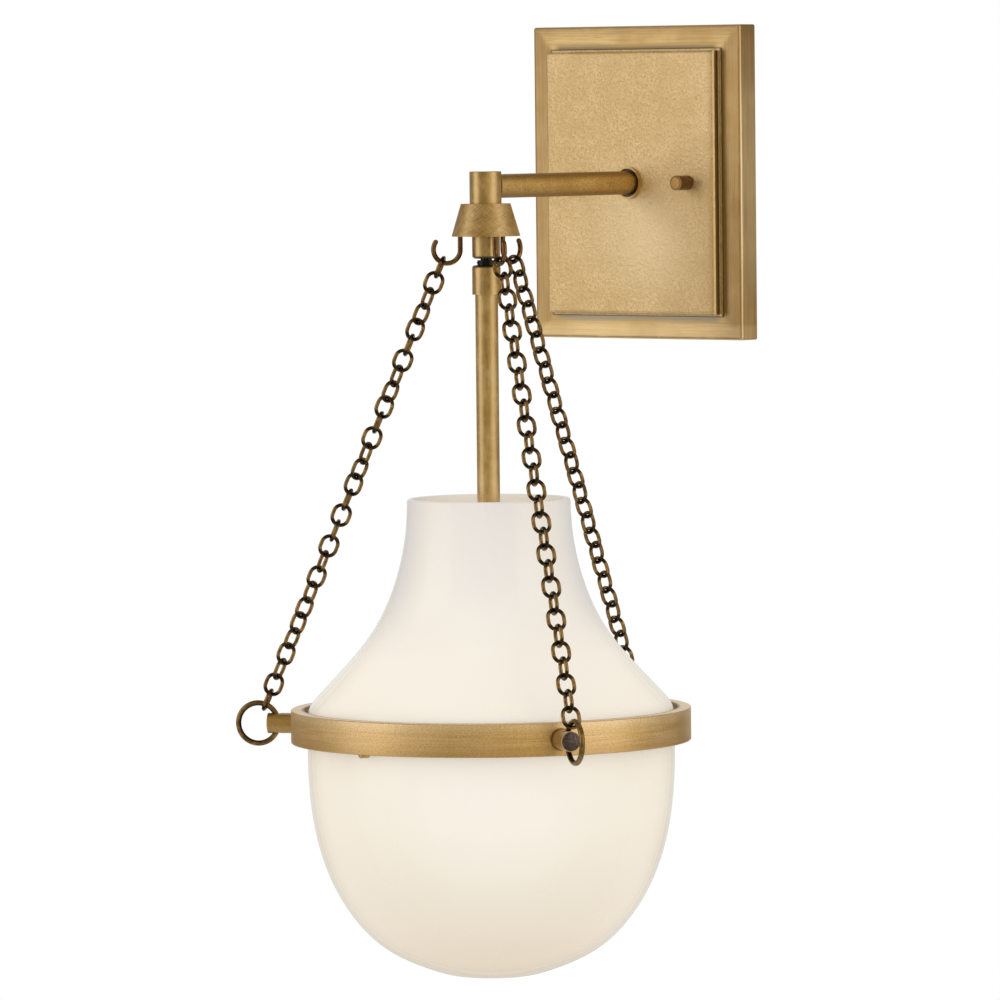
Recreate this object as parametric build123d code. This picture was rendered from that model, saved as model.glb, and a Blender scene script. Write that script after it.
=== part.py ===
from build123d import *
import math
import os

# A hanging pendant wall sconce. A rectangular wall plate carries a straight arm. Under the arm's end hang a
# stem with the lamp, and an opal glass bell on three chains.
#
# Frame: the origin is the middle of the plate's back, on the wall. The wall is the plane Y = 0, -Y points
# into the room, +X is to the right of someone who faces the wall, and +Z is up. Everything is in millimetres.
# Radii and azimuths of the hanging parts are about the hang axis, the vertical line through the arm's end.
# Azimuth 0 points into the room and 90 to the right.

# ---- clearances ----
RUNNING_FIT = 0.06
HOLE_CLEARANCE = 0.25
LOOSE_GAP = 0.3

# ---- wall plate ----
PLATE_WIDTH = 149.0
PLATE_HEIGHT = 176.0
PAN_DEPTH = 13.6
PAN_WALL = 1.2
PAN_EDGE_RADIUS = 1.4
PANEL_BORDER = 13.3
LEDGE_WIDTH = 1.1
LEDGE_RISE = 1.3
PANEL_RISE = 5.3
PANEL_WALL = 1.2
PANEL_EDGE_RADIUS = 1.7
PANEL_FACE = PAN_DEPTH + LEDGE_RISE + PANEL_RISE

# ---- fixing to the wall box ----
BOX_SCREW_SPACING = 88.9
BOX_SLOT_LENGTH = 9.0
BOX_SLOT_RADIUS = 2.4
STRAP_WIDTH = 16.0
STRAP_THICKNESS = 1.6
STRAP_END = 5.0
RIVET_RADIUS = 5.0
RIVET_BORE = 3.6
RIVET_HEAD_RADIUS = 6.5
RIVET_HEAD = 0.8
STUD_SPACING = 83.8
STUD_RADIUS = 2.0
STUD_HEAD_RADIUS = 3.6
STUD_HEAD = 1.2
GROUND_SCREW_X = 24.0
GROUND_SCREW_RADIUS = 1.9
GROUND_HEAD_RADIUS = 3.7
GROUND_HEAD = 2.2

# ---- cap nuts ----
CAP_NUT_RADIUS = 4.1
CAP_NUT_LENGTH = 11.0
CAP_NUT_CHAMFER = 0.5
CAP_NUT_END_WALL = 1.8
CAP_NUT_GAP = 0.1
STUD_END_GAP = 0.4

# ---- arm ----
ARM_REACH = 146.0
ARM_RADIUS = 6.6
TUBE_WALL = 1.2
ARM_THREAD_END = 5.0
COLLAR_WIDTH = 2.4
COLLAR_RADIUS = ARM_RADIUS + COLLAR_WIDTH
COLLAR_RIM = 1.0
COLLAR_FLOOR = 0.8
COLLAR_HEIGHT = 2.0
NUT_WALL = 2.9
NUT_THICKNESS = 3.2
WASHER_WIDTH = 3.9
WASHER_RADIUS = ARM_RADIUS + WASHER_WIDTH
WASHER_THICKNESS = 1.0

# ---- hub and hook cup ----
HUB_RADIUS = ARM_RADIUS + 2.2
HUB_TOP = ARM_RADIUS + 1.65
HUB_BOTTOM = -ARM_RADIUS - 2.85
HUB_CAVITY_RADIUS = 5.5
HUB_ROOF = 2.0
HUB_EDGE = 0.3
HUB_NIPPLE_DEPTH = 4.0
NIPPLE_RADIUS = 4.75
NIPPLE_WALL = 1.1
CUP_TOP_RADIUS = 13.7
CUP_MOUTH_RADIUS = 18.95
CUP_HEIGHT = 17.85
CUP_WALL = 1.5
SPACER_RADIUS = 7.0
HOOK_PLATE_THICKNESS = 2.0
HOOK_PLATE_INSET = 0.5
HOOK_PLATE_EDGE_GAP = 0.25
CUP_TOP = HUB_BOTTOM
CUP_MOUTH = CUP_TOP - CUP_HEIGHT
HOOK_PLATE_BOTTOM = CUP_MOUTH + HOOK_PLATE_INSET
HOOK_PLATE_TOP = HOOK_PLATE_BOTTOM + HOOK_PLATE_THICKNESS

# ---- hooks ----
HOOK_WIRE = 1.375
HOOK_BEND = 7.5
HOOK_SHANK_AT = 14.4
HOOK_SHANK = 7.8
HOOK_BEND_AT = HOOK_SHANK_AT + HOOK_BEND
HOOK_BEND_Z = HOOK_PLATE_BOTTOM - HOOK_SHANK
HOOK_TIP_ANGLE = 34.0
HOOK_HEAD_RADIUS = 1.75
HOOK_HEAD = 0.7

# ---- swivel and stem ----
UPPER_COUPLING_RADIUS = 7.7
UPPER_COUPLING_LENGTH = 12.8
UPPER_COUPLING_BOTTOM = HOOK_PLATE_BOTTOM - UPPER_COUPLING_LENGTH
UPPER_COUPLING_LIP = 1.4
SWIVEL_Z = UPPER_COUPLING_BOTTOM + 5.1
COUPLING_CHAMFER = 1.1
BALL_RADIUS = 5.6
BALL_GAP = 0.2
BALL_MOUTH_RADIUS = 4.4
NECK_RADIUS = 3.2
NECK_DEPTH = 7.0
WIRE_BORE = 1.8
SWIVEL_NUT_RADIUS = 5.3
SWIVEL_NUT_GAP = 0.9
SWIVEL_GROOVE = 0.35
LOWER_COUPLING_RADIUS = 7.85
LOWER_COUPLING_LENGTH = 16.15
LOWER_COUPLING_TOP = UPPER_COUPLING_BOTTOM - 3.6
LOWER_COUPLING_BOTTOM = LOWER_COUPLING_TOP - LOWER_COUPLING_LENGTH
COUPLING_ROUND = 1.8
STEM_RADIUS = 6.3
STEM_SOCKET_DEPTH = 8.0
STEM_LENGTH = 156.65
STEM_BOTTOM = LOWER_COUPLING_BOTTOM - STEM_LENGTH

# ---- lampholder and lamp ----
SOCKET_NECK_RADIUS = 8.5
SOCKET_NECK_HEIGHT = 10.0
SOCKET_RADIUS = 20.5
SOCKET_WALL = 1.2
SOCKET_LENGTH = 46.0
HOLDER_LENGTH = 43.0
HOLDER_BORE = 13.4
HOLDER_FLOOR = 16.0
LAMP_BASE_RADIUS = 13.0
LAMP_BASE_WALL = 0.8
LAMP_BASE_CHAMFER = 4.3
LAMP_BASE_ROOF = 6.5
LAMP_BASE_GAP = 1.0
LAMP_NECK_LENGTH = 2.0
LAMP_RADIUS = 30.0
LAMP_LENGTH = 88.0
LAMP_GLASS = 1.0

# ---- glass shade ----
# The band's top is the height that the glass, the band and the chains are placed from.
BAND_TOP_Z = -287.3
RIM_RADIUS = 45.1
RIM_Z = BAND_TOP_Z + 114.1
GLASS_RADIUS = 101.3
GLASS_THICKNESS = 3.4
# Two points of the flare under the rim, as how far out from it and how far below it.
FLARE_POINTS = [(3.5, 31.8), (16.6, 66.4)]
SHOULDER_ANGLE = 42.0
SHOULDER_RADIUS = 15.0
SHOULDER_Z = BAND_TOP_Z - 5.1
BOWL_Z = BAND_TOP_Z - 20.7
BOWL_DEPTH = 127.7
BOWL_ROUNDNESS = 2.4
GLASS_BOTTOM_Z = BOWL_Z - BOWL_DEPTH
BEAD_WIDTH = 2.9
BEAD_RADIUS = GLASS_RADIUS + BEAD_WIDTH
BEAD_HEIGHT = 5.5

# ---- band round the glass ----
BAND_WALL = 5.8
BAND_POCKET_RADIUS = BEAD_RADIUS + 0.4
BAND_RADIUS = BAND_POCKET_RADIUS + BAND_WALL
BAND_HEIGHT = 18.1
BAND_BOTTOM_Z = BAND_TOP_Z - BAND_HEIGHT
BAND_LIP_RADIUS = GLASS_RADIUS + 2.1
BAND_LIP_HEIGHT = 7.9
BAND_EDGE = 0.4
GASKET_THICKNESS = 1.0
GASKET_INNER_GAP = 0.3
RETAINER_THICKNESS = 2.2
RETAINER_INNER_RADIUS = GLASS_RADIUS + 0.7
RETAINER_SKIRT = 1.2
RETAINER_SCREW_CIRCLE = BAND_RADIUS - 3.5
SCREW_RADIUS = 1.45
SCREW_LENGTH = 8.0
SCREW_HEAD_RADIUS = 3.2
SCREW_HEAD = 1.8
SCREW_HEAD_ROUND = 1.1
SCREW_SLOT_WIDTH = 0.8
SCREW_SLOT_DEPTH = 0.7

# ---- stubs and rings ----
STUB_RADIUS = 5.65
STUB_REACH = 15.6
STUB_DOME = 0.7
STUB_FOOT_RADIUS = 6.1
STUB_FOOT = 0.8
STUB_SPIGOT_RADIUS = 2.5
STUB_SPIGOT = 4.6
RING_WIRE = 1.5
RING_RADIUS = 11.2
RING_INSET = 6.2

# ---- chains ----
CHAIN_AZIMUTHS = {"left": -60.0, "front": 60.0, "back": 180.0}
CHAIN_WIRE = 1.05
LINK_WIDTH = 11.2
LINK_PITCH = 9.28
LINK_GAP = 0.06
# Each link is turned from the one above it, and the left chain's upper links are turned less.
STRAIGHT_TWIST = 90.0
LOOSE_TWIST = 72.0
LOOSE_STEPS = {"left": 15, "front": 0, "back": 0}

# ---- places worked out from the sizes ----
STUB_Z = BAND_TOP_Z - BAND_HEIGHT / 2
STUB_END = BAND_RADIUS + STUB_REACH
RETAINER_TOP_Z = BAND_BOTTOM_Z + RETAINER_THICKNESS
POCKET_TOP_Z = BAND_TOP_Z - BAND_LIP_HEIGHT
BEAD_TOP_Z = POCKET_TOP_Z - GASKET_THICKNESS
BEAD_BOTTOM_Z = BEAD_TOP_Z - BEAD_HEIGHT
RING_CENTRE = STUB_END - RING_INSET + RING_RADIUS
# The ring's wire is bent, so it needs a hole wider than itself where it goes through the stub.
RING_SAGITTA = RING_RADIUS - math.sqrt(RING_RADIUS**2 - STUB_RADIUS**2)
RING_HOLE_RADIUS = RING_WIRE + RING_SAGITTA / 2 + LOOSE_GAP
RING_HOLE_AT = RING_CENTRE - RING_RADIUS + RING_SAGITTA / 2
# One screw stands in front and two behind, each clear of the stubs' spigots.
SCREW_AZIMUTHS = [0.0, 140.0, -140.0]


def arc_point(centre, radius, degrees):
    angle = math.radians(degrees)
    return centre[0] + radius * math.cos(angle), centre[1] + radius * math.sin(angle)


def chain_line():
    """The two ends of a chain, as (radius, Z), where it pulls straight from its hook to its ring."""
    slope = 0.0
    for _ in range(20):
        hook = arc_point((HOOK_BEND_AT, HOOK_BEND_Z), HOOK_BEND, slope - 90.0)
        ring = arc_point((RING_CENTRE, STUB_Z), RING_RADIUS, slope + 90.0)
        slope = math.degrees(math.atan2(ring[0] - hook[0], hook[1] - ring[1]))
    return hook, ring, slope


CHAIN_HOOK, CHAIN_RING, CHAIN_SLOPE = chain_line()
CHAIN_LENGTH = math.dist(CHAIN_HOOK, CHAIN_RING)
# The chains' lines meet on the hang axis at this height, and the bell swings about that point.
SWING_Z = CHAIN_HOOK[1] + CHAIN_HOOK[0] / math.tan(math.radians(CHAIN_SLOPE))
HOOK_SEAT = HOOK_WIRE + LOOSE_GAP
RING_SEAT = RING_WIRE + LOOSE_GAP
LINK_COUNT = round((CHAIN_LENGTH + HOOK_SEAT + RING_SEAT) / LINK_PITCH)
LINK_INNER = (CHAIN_LENGTH + HOOK_SEAT + RING_SEAT + (LINK_COUNT - 1) * LINK_GAP) / LINK_COUNT


# ---- tools for shapes ----
ON_BASE = (Align.CENTER, Align.CENTER, Align.MIN)


def block(width, height, depth):
    """A box that stands on Z = 0 about the Z axis."""
    return Box(width, height, depth, align=ON_BASE)


def tube(radius, bore, bottom, top):
    """A round bar about Z, with a bore through it unless the bore's radius is 0."""
    shape = Pos(0, 0, bottom) * Cylinder(radius, top - bottom, align=ON_BASE)
    if bore:
        shape -= Pos(0, 0, bottom) * Cylinder(bore, top - bottom, align=ON_BASE)
    return shape


def bent_wire(radius, wire, degrees):
    """A round wire bent about Z, from the +X axis onward."""
    return Torus(radius, wire, major_angle=degrees, align=Align.NONE)


def turned(points):
    """A solid of revolution about Z from its closed outline of (radius, Z) corners."""
    outline = Polyline(*[(radius, 0, height) for radius, height in points], close=True)
    return revolve(make_face(outline), Axis.Z)


def facing_room(shape, x=0.0, z=0.0, depth=0.0):
    """Stands a shape that was made along +Z on the wall, so that its Z points into the room."""
    return Pos(x, -depth, z) * Rot(90, 0, 0) * shape


def hung(shape):
    return Pos(0, -ARM_REACH, 0) * shape


def at_azimuth(azimuth, shape):
    """Turns a shape that was made in the hang axis's own frame, with +X outward, to its azimuth."""
    return Rot(0, 0, azimuth - 90.0) * shape


def group(shapes):
    return Compound(children=[Compound(shape.solids()) for shape in shapes])


# ---- wall plate ----
def make_wall_pan():
    pan = block(PLATE_WIDTH, PLATE_HEIGHT, PAN_DEPTH)
    outer_edges = pan.edges().filter_by(Axis.Z) + pan.faces().sort_by(Axis.Z)[-1].edges()
    pan = fillet(outer_edges, PAN_EDGE_RADIUS)
    pan -= block(PLATE_WIDTH - 2 * PAN_WALL, PLATE_HEIGHT - 2 * PAN_WALL, PAN_DEPTH - PAN_WALL)
    pan -= tube(ARM_RADIUS + HOLE_CLEARANCE, 0, 0, PAN_DEPTH)
    for side in (-1, 1):
        pan -= Pos(side * STUD_SPACING / 2, 0, 0) * tube(STUD_RADIUS + HOLE_CLEARANCE, 0, 0, PAN_DEPTH)
    return facing_room(pan)


def make_raised_panel():
    width = PLATE_WIDTH - 2 * PANEL_BORDER
    height = PLATE_HEIGHT - 2 * PANEL_BORDER
    rise = LEDGE_RISE + PANEL_RISE
    top = block(width - 2 * LEDGE_WIDTH, height - 2 * LEDGE_WIDTH, rise)
    top = fillet(top.faces().sort_by(Axis.Z)[-1].edges(), PANEL_EDGE_RADIUS)
    inset = 2 * (LEDGE_WIDTH + PANEL_WALL)
    panel = block(width, height, LEDGE_RISE) + top - block(width - inset, height - inset, rise - PANEL_WALL)
    panel -= tube(ARM_RADIUS + HOLE_CLEARANCE, 0, 0, rise)
    for side in (-1, 1):
        panel -= Pos(side * STUD_SPACING / 2, 0, 0) * tube(STUD_RADIUS + HOLE_CLEARANCE, 0, 0, rise)
    return facing_room(panel, depth=PAN_DEPTH)


def make_box_strap():
    length = BOX_SCREW_SPACING + BOX_SLOT_LENGTH + 2 * STRAP_END
    strap = block(STRAP_WIDTH, length, STRAP_THICKNESS)
    strap -= tube(RIVET_RADIUS + RUNNING_FIT, 0, 0, STRAP_THICKNESS)
    slot = extrude(SlotOverall(BOX_SLOT_LENGTH, 2 * BOX_SLOT_RADIUS, rotation=90), STRAP_THICKNESS)
    for side in (-1, 1):
        strap -= Pos(0, side * BOX_SCREW_SPACING / 2, 0) * slot
    return facing_room(strap)


def make_crossbar():
    length = STUD_SPACING + 4 * STUD_HEAD_RADIUS
    bar = block(length, STRAP_WIDTH, STRAP_THICKNESS)
    bar -= tube(RIVET_RADIUS + RUNNING_FIT, 0, 0, STRAP_THICKNESS)
    for side in (-1, 1):
        bar -= Pos(side * STUD_SPACING / 2, 0, 0) * tube(STUD_RADIUS + RUNNING_FIT, 0, 0, STRAP_THICKNESS)
    bar -= Pos(GROUND_SCREW_X, 0, 0) * tube(GROUND_SCREW_RADIUS + RUNNING_FIT, 0, 0, STRAP_THICKNESS)
    return facing_room(bar, depth=STRAP_THICKNESS)


def make_strap_rivet():
    front = 2 * STRAP_THICKNESS
    rivet = tube(RIVET_RADIUS, RIVET_BORE, 0, front)
    rivet += tube(RIVET_HEAD_RADIUS, RIVET_BORE, front, front + RIVET_HEAD)
    return facing_room(rivet)


def make_stud_screws():
    nut_bore_end = PANEL_FACE + CAP_NUT_GAP + CAP_NUT_LENGTH - CAP_NUT_END_WALL
    head_back = STRAP_THICKNESS - STUD_HEAD
    stud = tube(STUD_HEAD_RADIUS, 0, head_back, STRAP_THICKNESS)
    stud += tube(STUD_RADIUS, 0, head_back, nut_bore_end - STUD_END_GAP)
    return group([facing_room(stud, side * STUD_SPACING / 2) for side in (-1, 1)])


def make_ground_screw():
    front = 2 * STRAP_THICKNESS
    screw = tube(GROUND_SCREW_RADIUS, 0, STRAP_THICKNESS, front)
    screw += tube(GROUND_HEAD_RADIUS, 0, front, front + GROUND_HEAD)
    return facing_room(screw, GROUND_SCREW_X)


def make_cap_nut(side):
    nut = tube(CAP_NUT_RADIUS, 0, 0, CAP_NUT_LENGTH)
    nut = chamfer(nut.edges().sort_by(Axis.Z)[-1], CAP_NUT_CHAMFER)
    nut -= tube(STUD_RADIUS + RUNNING_FIT, 0, 0, CAP_NUT_LENGTH - CAP_NUT_END_WALL)
    return facing_room(nut, side * STUD_SPACING / 2, depth=PANEL_FACE + CAP_NUT_GAP)


# ---- arm ----
def make_arm_collar():
    bore = ARM_RADIUS + RUNNING_FIT
    collar = tube(COLLAR_RADIUS, bore, 0, COLLAR_FLOOR)
    collar += tube(COLLAR_RADIUS, COLLAR_RADIUS - COLLAR_RIM, COLLAR_FLOOR, COLLAR_HEIGHT)
    return facing_room(collar, depth=PANEL_FACE)


def make_arm_tube():
    end = ARM_REACH - HUB_CAVITY_RADIUS - LOOSE_GAP
    return facing_room(tube(ARM_RADIUS, ARM_RADIUS - TUBE_WALL, ARM_THREAD_END, end))


def make_arm_washer():
    back = PAN_DEPTH - PAN_WALL - WASHER_THICKNESS
    return facing_room(tube(WASHER_RADIUS, ARM_RADIUS + HOLE_CLEARANCE, back, back + WASHER_THICKNESS))


def make_arm_locknut():
    front = PAN_DEPTH - PAN_WALL - WASHER_THICKNESS
    flats = RegularPolygon(ARM_RADIUS + NUT_WALL, 6, major_radius=False)
    nut = Pos(0, 0, front - NUT_THICKNESS) * extrude(flats, NUT_THICKNESS)
    nut -= tube(ARM_RADIUS + RUNNING_FIT, 0, front - NUT_THICKNESS, front)
    return facing_room(nut)


# ---- hub, cup and hooks ----
def make_arm_hub():
    hub = tube(HUB_RADIUS, 0, HUB_BOTTOM, HUB_TOP)
    hub = chamfer(hub.edges().sort_by(Axis.Z)[-1], HUB_EDGE)
    hub -= tube(NIPPLE_RADIUS + RUNNING_FIT, 0, HUB_BOTTOM, HUB_BOTTOM + HUB_NIPPLE_DEPTH)
    hub -= tube(HUB_CAVITY_RADIUS, 0, HUB_BOTTOM + HUB_NIPPLE_DEPTH, HUB_TOP - HUB_ROOF)
    hub -= Rot(-90, 0, 0) * tube(ARM_RADIUS + RUNNING_FIT, 0, 0, HUB_RADIUS)
    return hung(hub)


def make_hub_nipple():
    bottom = SWIVEL_Z + BALL_RADIUS + BALL_GAP
    return hung(tube(NIPPLE_RADIUS, NIPPLE_RADIUS - NIPPLE_WALL, bottom, HUB_BOTTOM + HUB_NIPPLE_DEPTH))


def cup_radius(height):
    """The cup's outer radius at a height."""
    return CUP_TOP_RADIUS + (CUP_MOUTH_RADIUS - CUP_TOP_RADIUS) * (CUP_TOP - height) / CUP_HEIGHT


def make_hook_cup():
    roof = CUP_TOP - CUP_WALL
    outline = [
        (NIPPLE_RADIUS + RUNNING_FIT, CUP_TOP), (CUP_TOP_RADIUS, CUP_TOP), (CUP_MOUTH_RADIUS, CUP_MOUTH),
        (CUP_MOUTH_RADIUS - CUP_WALL, CUP_MOUTH), (cup_radius(roof) - CUP_WALL, roof),
        (NIPPLE_RADIUS + RUNNING_FIT, roof),
    ]
    return hung(turned(outline))


def make_cup_spacer():
    return hung(tube(SPACER_RADIUS, NIPPLE_RADIUS + RUNNING_FIT, HOOK_PLATE_TOP, CUP_TOP - CUP_WALL))


def make_hook_plate():
    radius = cup_radius(HOOK_PLATE_TOP) - CUP_WALL - HOOK_PLATE_EDGE_GAP
    plate = tube(radius, NIPPLE_RADIUS + RUNNING_FIT, HOOK_PLATE_BOTTOM, HOOK_PLATE_TOP)
    hole = tube(HOOK_WIRE + RUNNING_FIT, 0, HOOK_PLATE_BOTTOM, HOOK_PLATE_TOP)
    for azimuth in CHAIN_AZIMUTHS.values():
        plate -= at_azimuth(azimuth, Pos(HOOK_SHANK_AT, 0, 0) * hole)
    return hung(plate)


def make_hook(azimuth):
    shank = Pos(HOOK_SHANK_AT, 0, 0) * tube(HOOK_WIRE, 0, HOOK_BEND_Z, HOOK_PLATE_TOP)
    head = Pos(HOOK_SHANK_AT, 0, 0) * tube(HOOK_HEAD_RADIUS, 0, HOOK_PLATE_TOP, HOOK_PLATE_TOP + HOOK_HEAD)
    bend = Rot(90, 0, 0) * Rot(0, 0, 180) * bent_wire(HOOK_BEND, HOOK_WIRE, 180.0 + HOOK_TIP_ANGLE)
    bend = Pos(HOOK_BEND_AT, 0, HOOK_BEND_Z) * bend
    tip_at = arc_point((HOOK_BEND_AT, HOOK_BEND_Z), HOOK_BEND, HOOK_TIP_ANGLE)
    tip = Pos(tip_at[0], 0, tip_at[1]) * Sphere(HOOK_WIRE)
    return hung(at_azimuth(azimuth, shank + head + bend + tip))


# ---- swivel, stem and lamp ----
def make_upper_coupling():
    ceiling = SWIVEL_Z + BALL_RADIUS + BALL_GAP
    lip = UPPER_COUPLING_BOTTOM + UPPER_COUPLING_LIP
    bore = BALL_RADIUS + BALL_GAP
    coupling = tube(UPPER_COUPLING_RADIUS, 0, UPPER_COUPLING_BOTTOM, HOOK_PLATE_BOTTOM)
    coupling = chamfer(coupling.edges().sort_by(Axis.Z)[0], COUPLING_CHAMFER)
    coupling -= tube(NIPPLE_RADIUS + RUNNING_FIT, 0, ceiling, HOOK_PLATE_BOTTOM)
    coupling -= tube(bore, 0, lip, ceiling)
    coupling -= tube(BALL_MOUTH_RADIUS, 0, UPPER_COUPLING_BOTTOM, lip)
    return hung(coupling)


def make_swivel_ball():
    bottom = LOWER_COUPLING_TOP - NECK_DEPTH
    ball = Pos(0, 0, SWIVEL_Z) * Sphere(BALL_RADIUS) + tube(NECK_RADIUS, 0, bottom, SWIVEL_Z)
    ball -= tube(WIRE_BORE, 0, bottom, SWIVEL_Z + BALL_RADIUS)
    return hung(ball)


def make_swivel_locknut():
    top = UPPER_COUPLING_BOTTOM - SWIVEL_NUT_GAP
    middle = (top + LOWER_COUPLING_TOP) / 2
    waist = SWIVEL_NUT_RADIUS - SWIVEL_GROOVE
    bore = NECK_RADIUS + RUNNING_FIT
    outline = [
        (bore, LOWER_COUPLING_TOP), (waist, LOWER_COUPLING_TOP), (waist, middle - SWIVEL_GROOVE),
        (SWIVEL_NUT_RADIUS, middle - SWIVEL_GROOVE), (SWIVEL_NUT_RADIUS, middle + SWIVEL_GROOVE),
        (waist, middle + SWIVEL_GROOVE), (waist, top), (bore, top),
    ]
    return hung(turned(outline))


def make_lower_coupling():
    seat = LOWER_COUPLING_BOTTOM + STEM_SOCKET_DEPTH
    coupling = tube(LOWER_COUPLING_RADIUS, 0, LOWER_COUPLING_BOTTOM, LOWER_COUPLING_TOP)
    coupling = fillet(coupling.edges().sort_by(Axis.Z)[-1], COUPLING_ROUND)
    coupling -= tube(NECK_RADIUS + RUNNING_FIT, 0, seat, LOWER_COUPLING_TOP)
    coupling -= tube(STEM_RADIUS + RUNNING_FIT, 0, LOWER_COUPLING_BOTTOM, seat)
    return hung(coupling)


def make_stem_tube():
    top = LOWER_COUPLING_BOTTOM + STEM_SOCKET_DEPTH
    return hung(tube(STEM_RADIUS, STEM_RADIUS - TUBE_WALL, STEM_BOTTOM, top))


def make_socket_cup():
    roof = STEM_BOTTOM - SOCKET_WALL
    neck = tube(SOCKET_NECK_RADIUS, STEM_RADIUS + RUNNING_FIT, STEM_BOTTOM, STEM_BOTTOM + SOCKET_NECK_HEIGHT)
    top = tube(SOCKET_RADIUS, STEM_RADIUS - TUBE_WALL, roof, STEM_BOTTOM)
    skirt = tube(SOCKET_RADIUS, SOCKET_RADIUS - SOCKET_WALL, STEM_BOTTOM - SOCKET_LENGTH, roof)
    return hung(neck + top + skirt)


def holder_bottom():
    return STEM_BOTTOM - SOCKET_WALL - HOLDER_LENGTH


def holder_bore_top():
    return STEM_BOTTOM - SOCKET_WALL - HOLDER_FLOOR


def make_lampholder():
    top = STEM_BOTTOM - SOCKET_WALL
    radius = SOCKET_RADIUS - SOCKET_WALL - HOLE_CLEARANCE
    holder = tube(radius, 0, holder_bottom(), top)
    holder -= tube(HOLDER_BORE, 0, holder_bottom(), holder_bore_top())
    holder -= tube(WIRE_BORE, 0, holder_bore_top(), top)
    return hung(holder)


def make_bulb_base():
    top = holder_bore_top() - LAMP_BASE_GAP
    base = tube(LAMP_BASE_RADIUS, 0, holder_bottom(), top)
    base = chamfer(base.edges().sort_by(Axis.Z)[-1], LAMP_BASE_CHAMFER)
    base -= tube(LAMP_BASE_RADIUS - LAMP_BASE_WALL, 0, holder_bottom(), top - LAMP_BASE_ROOF)
    return hung(base)


def lamp_outline(inset):
    """The lamp's side and end as edges, from its neck down to the axis."""
    neck = LAMP_BASE_RADIUS - inset
    radius = LAMP_RADIUS - inset
    top = holder_bottom()
    shoulder = top - LAMP_NECK_LENGTH
    centre = top - LAMP_LENGTH + LAMP_RADIUS
    straight = Line((neck, 0, top), (neck, 0, shoulder))
    flare = Spline((neck, 0, shoulder), (radius, 0, centre), tangents=[(0, 0, -1), (0, 0, -1)])
    diagonal = radius * math.sqrt(0.5)
    end = ThreePointArc((radius, 0, centre), (diagonal, 0, centre - diagonal), (0, 0, centre - radius))
    return [straight, flare, end]


def make_bulb_glass():
    top = holder_bottom()
    bottom = top - LAMP_LENGTH
    outer = lamp_outline(0)
    inner = lamp_outline(LAMP_GLASS)
    closing = [
        Line((LAMP_BASE_RADIUS, 0, top), (LAMP_BASE_RADIUS - LAMP_GLASS, 0, top)),
        Line((0, 0, bottom), (0, 0, bottom + LAMP_GLASS)),
    ]
    return hung(revolve(make_face(outer + inner + closing), Axis.Z))


# ---- glass shade ----
def glass_outline():
    """The glass's outer line as edges, from the rim down to the axis: flare, shoulder, side and bowl."""
    start = (GLASS_RADIUS - SHOULDER_RADIUS * (1 - math.cos(math.radians(SHOULDER_ANGLE))), 0,
             SHOULDER_Z + SHOULDER_RADIUS * math.sin(math.radians(SHOULDER_ANGLE)))
    middle = math.radians(SHOULDER_ANGLE / 2)
    shoulder_middle = (GLASS_RADIUS - SHOULDER_RADIUS * (1 - math.cos(middle)), 0,
                       SHOULDER_Z + SHOULDER_RADIUS * math.sin(middle))
    lean = math.radians(SHOULDER_ANGLE)
    between = [(RIM_RADIUS + out, 0, RIM_Z - down) for out, down in FLARE_POINTS]
    flare = Spline(
        (RIM_RADIUS, 0, RIM_Z), *between, start, tangents=[(0, 0, -1), (math.sin(lean), 0, -math.cos(lean))]
    )
    shoulder = ThreePointArc(start, shoulder_middle, (GLASS_RADIUS, 0, SHOULDER_Z))
    side = Line((GLASS_RADIUS, 0, SHOULDER_Z), (GLASS_RADIUS, 0, BOWL_Z))
    bowl_points = []
    for turn in range(0, 91, 15):
        angle = math.radians(turn)
        radius = GLASS_RADIUS * max(math.cos(angle), 0) ** (2 / BOWL_ROUNDNESS)
        drop = BOWL_DEPTH * math.sin(angle) ** (2 / BOWL_ROUNDNESS)
        bowl_points.append((radius if turn < 90 else 0, 0, BOWL_Z - drop))
    bowl = Spline(*bowl_points, tangents=[(0, 0, -1), (-1, 0, 0)])
    return [flare, shoulder, side, bowl]


def make_glass_shade():
    outer = glass_outline()
    inner_points = []
    for edge in outer:
        for share in (0.0, 0.25, 0.5, 0.75):
            if edge is outer[2] and share:
                continue
            along = edge.tangent_at(share)
            inward = Vector(along.Z, 0, -along.X)
            inner_points.append(edge.position_at(share) + inward * GLASS_THICKNESS)
    inner_points.append(Vector(0, 0, GLASS_BOTTOM_Z + GLASS_THICKNESS))
    inner = Spline(*inner_points, tangents=[(0, 0, -1), (-1, 0, 0)])
    rim_inner = RIM_RADIUS - GLASS_THICKNESS
    rim_crest = ((RIM_RADIUS + rim_inner) / 2, 0, RIM_Z + GLASS_THICKNESS / 2)
    rim = ThreePointArc((RIM_RADIUS, 0, RIM_Z), rim_crest, (rim_inner, 0, RIM_Z))
    foot = Line((0, 0, GLASS_BOTTOM_Z), (0, 0, GLASS_BOTTOM_Z + GLASS_THICKNESS))
    shade = revolve(make_face(outer + [inner, rim, foot]), Axis.Z)
    bead = tube(BEAD_RADIUS, GLASS_RADIUS - GLASS_THICKNESS / 2, BEAD_BOTTOM_Z, BEAD_TOP_Z)
    return hung(shade + bead)


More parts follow.
